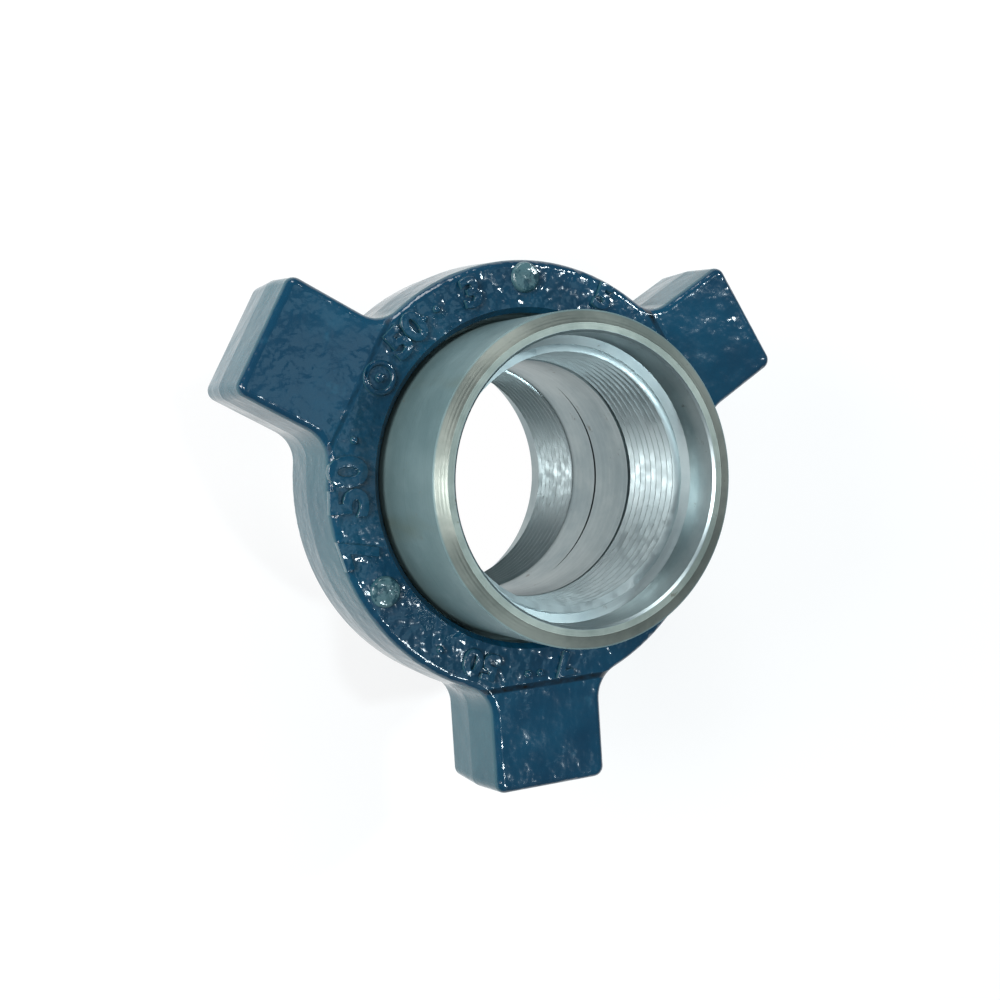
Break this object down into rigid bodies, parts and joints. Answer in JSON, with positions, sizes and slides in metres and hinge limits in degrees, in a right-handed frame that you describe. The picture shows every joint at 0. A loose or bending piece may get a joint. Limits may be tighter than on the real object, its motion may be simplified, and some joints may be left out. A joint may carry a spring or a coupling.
{
  "type": "hammer union",
  "caption": "Wing-nut hammer union for two-inch threaded pipe: a ball-nose sub drawn into a cone-seat sub by a lugged nut.",
  "frame": {"origin": "centre of the female sub's end face, on the bore axis", "axes": "+Z along the bore from the female sub to the male sub; one lug of the nut lies along +Y"},
  "size_m": [0.1372, 0.1225, 0.088],
  "materials": {
    "nut_paint": "glossy blue enamel over a rough forging",
    "sub_steel": "turned steel, lightly greyed",
    "seal_rubber": "matt black nitrile"
  },
  "bodies": {
    "female_end": {"female_sub": "sub_steel"},
    "male_end": {"male_sub": "sub_steel", "seal_ring": "seal_rubber"},
    "nut": {"wing_nut": "nut_paint"}
  },
  "joints": [
    {"name": "union_draw", "type": "slide", "parent": "female_end", "child": "male_end", "axis": [0, 0, 1], "range_m": [0, 0.0128]},
    {"name": "nut_turn", "type": "hinge", "parent": "male_end", "child": "nut", "pos_m": [0, 0, 0.0495], "axis": [0, 0, 1], "range_deg": [0, 720]}
  ],
  "couplings": [
    {"joint": "union_draw", "follows": "nut_turn", "m_per_rad": 0.0010106}
  ]
}
